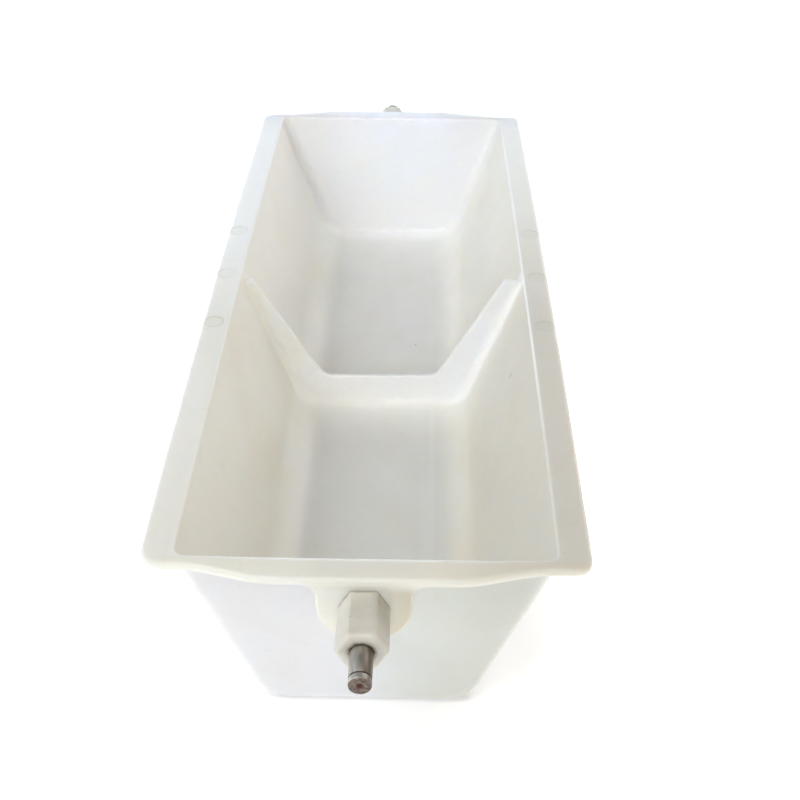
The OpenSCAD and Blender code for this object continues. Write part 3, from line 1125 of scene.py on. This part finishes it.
def floor_paper():
    """White paper that glows: not under the tub, a little in front of it, and more aside and behind."""
    n = Nodes("floor_paper")
    across = n.size(n.x)
    outside_tub = n.larger(n.ramp(across, FLOOR_HALF_WIDTH - 8 * MM, FLOOR_HALF_WIDTH + 2 * MM),
                           n.ramp(n.size(n.y), MOUTH_Y - 20 * MM, MOUTH_Y - 6 * MM))
    aside = n.ramp(across, 0.7 * HALF_WIDTH, 1.5 * HALF_WIDTH)
    behind = n.ramp(n.y, 1.0 * PAD_FACE, 1.2 * PAD_FACE)
    far_glow = n.times(n.larger(aside, behind), FAR_GLOW - FLOOR_GLOW)
    shade_glow = n.ramp(n.x, 0.4 * HALF_WIDTH, 0.7 * HALF_WIDTH, 0, SHADE_GLOW)
    level = n.plus(n.plus(far_glow, FLOOR_GLOW), shade_glow)
    level = n.times(level, n.ramp(n.y, -2.2 * PAD_FACE, -1.25 * PAD_FACE, 0.4, 1))
    from_tub = n.distance(n.x, n.y)
    level = n.larger(level, n.ramp(from_tub, 2.2 * PAD_FACE, 5 * PAD_FACE, 0, FAR_GLOW))
    n.surface(Base_Color=(0.9, 0.9, 0.9, 1), Roughness=0.9, Emission_Color=(1, 1, 1, 1),
              Emission_Strength=n.times(outside_tub, level))
    return n.material


def make_stage():
    """Wide pale floor, a hair's breadth under the tub."""
    corners = [(-1, -1), (1, -1), (1, 1), (-1, 1)]
    points = [Vector((x * FLOOR_HALF_SIZE, y * FLOOR_HALF_SIZE, 0)) for x, y in corners]
    floor = mesh_object("floor", points, [(0, 1, 2, 3)])
    floor.data.materials.append(floor_paper())
    floor.location.z = -0.1 * MM


def softbox(name, azimuth, elevation, distance, size, radiance, aim=(0, 0, 2 / 3 * RIM_TOP), spread=180):
    """A rectangular light aimed at the tub. Azimuth 0 is in front and 90 on the +X side. radiance is its
    strength in (red, green, blue), and spread the angle in degrees that it shines into."""
    turn = math.radians(azimuth)
    lift = math.radians(elevation)
    outward = Vector((math.sin(turn) * math.cos(lift), -math.cos(turn) * math.cos(lift), math.sin(lift)))
    lamp = bpy.data.lights.new(name, "AREA")
    lamp.shape = "RECTANGLE"
    lamp.size, lamp.size_y = size
    lamp.energy = math.pi * size[0] * size[1]
    lamp.color = radiance
    lamp.spread = math.radians(spread)
    light = bpy.data.objects.new(name, lamp)
    bpy.context.scene.collection.objects.link(light)
    light.location = Vector(aim) + distance * outward
    light.rotation_mode = "QUATERNION"
    light.rotation_quaternion = (-outward).to_track_quat("-Z", "Y")


def make_sky():
    """Pale sky that is bright near the horizon and nearly dark overhead."""
    world = bpy.data.worlds.new("studio")
    bpy.context.scene.world = world
    world.use_nodes = True
    tree = world.node_tree
    background = tree.nodes["Background"]
    background.inputs["Color"].default_value = (1, 1, 1, 1)
    direction = tree.nodes.new("ShaderNodeTexCoord")
    split = tree.nodes.new("ShaderNodeSeparateXYZ")
    tree.links.new(direction.outputs["Generated"], split.inputs[0])
    fade = tree.nodes.new("ShaderNodeMapRange")
    fade.interpolation_type = "SMOOTHSTEP"
    tree.links.new(split.outputs["Z"], fade.inputs["Value"])
    fade.inputs["From Min"].default_value = math.sin(SKY_LOW_EDGE)
    fade.inputs["From Max"].default_value = math.sin(SKY_HIGH_EDGE)
    fade.inputs["To Min"].default_value = SKY_GLOW
    fade.inputs["To Max"].default_value = SKY_TOP_GLOW
    tree.links.new(fade.outputs["Result"], background.inputs["Strength"])


def make_lights():
    """Soft light from all round, and two narrow lights that brighten the rear wall and the divider. Their
    strengths were fitted to the photo's tones and rounded."""
    softbox("front", 0, 35, 3.0, (1.5, 1.0), (1.8, 2.1, 2.3))
    softbox("front_high", 0, 66, 3.0, (1.5, 1.0), (3.5, 3.2, 2.8))
    softbox("front_left", 315, 52, 3.0, (1.8, 1.4), (4.0, 4.1, 4.1))
    softbox("left", 270, 39, 1.3, (0.8, 1.6), (0.6, 0.7, 0.8))
    softbox("right", 90, 39, 1.3, (0.8, 1.6), (0.3, 0.2, 0.1))
    softbox("rear_right", 135, 22, 3.0, (2.3, 1.2), (2.2, 2.0, 2.0))
    softbox("rear", 180, 14, 3.0, (3.0, 0.8), (1.9, 2.5, 3.2))
    softbox("rear_wall", 0, 38, 2.4, (0.12, 0.12), (0.4, 0.5, 0.7), (6 * MM, MOUTH_Y, 112 * MM), 5)
    softbox("divider", 355, 24, 2.4, (0.26, 0.09), (0.19, 0.20, 0.22), (20 * MM, 0, 60 * MM), 3)


make_camera()
tub = make_tub()
dress(tub, milky_plastic(), "tub")
cream = cream_plastic()
steel = pin_steel()
for word, end in (("front", -1), ("rear", 1)):
    dress(make_sleeve(word + "_sleeve", end), cream, word + "_hex_sleeve")
    dress(make_pin(word + "_pin", end), steel, word + "_pivot_pin")
make_stage()
make_sky()
make_lights()
bpy.context.scene.view_settings.view_transform = "Standard"
